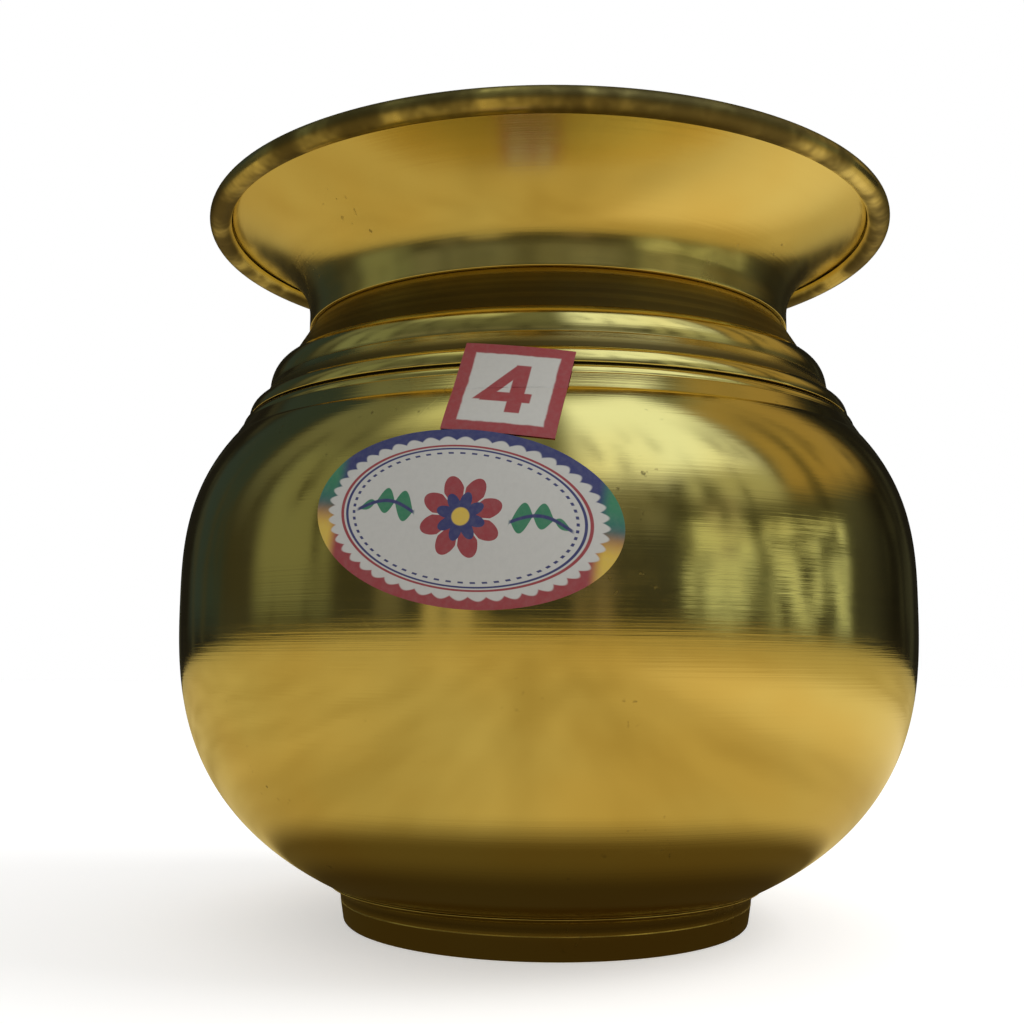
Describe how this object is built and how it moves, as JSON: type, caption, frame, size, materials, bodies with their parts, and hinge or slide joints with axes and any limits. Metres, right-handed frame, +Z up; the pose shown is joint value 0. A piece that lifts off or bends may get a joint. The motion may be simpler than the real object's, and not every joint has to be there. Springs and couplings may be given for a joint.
{
  "type": "kalash",
  "caption": "Round brass water pot with a wide trumpet mouth, stepped shoulder rings, a full belly and a low foot ring.",
  "frame": {"origin": "on the vessel's axis, in the plane that the foot ring stands on", "axes": "+Z up along the vessel's axis, labels face -Y"},
  "size_m": [0.1152, 0.1154, 0.1111],
  "materials": {
    "polished_brass": "polished, with fine turning lines",
    "wire_brass": "drawn wire, dull",
    "braze": "as cast, satin",
    "paper": "printed paper, satin"
  },
  "bodies": {
    "root": {"mouth_flare": "polished_brass", "rim_wire": "wire_brass", "shoulder_shell": "polished_brass", "lower_bowl": "polished_brass", "foot_ring": "polished_brass", "neck_braze": "braze", "belly_braze": "braze", "foot_braze": "braze", "size_label": "paper", "oval_label": "paper"}
  },
  "joints": []
}
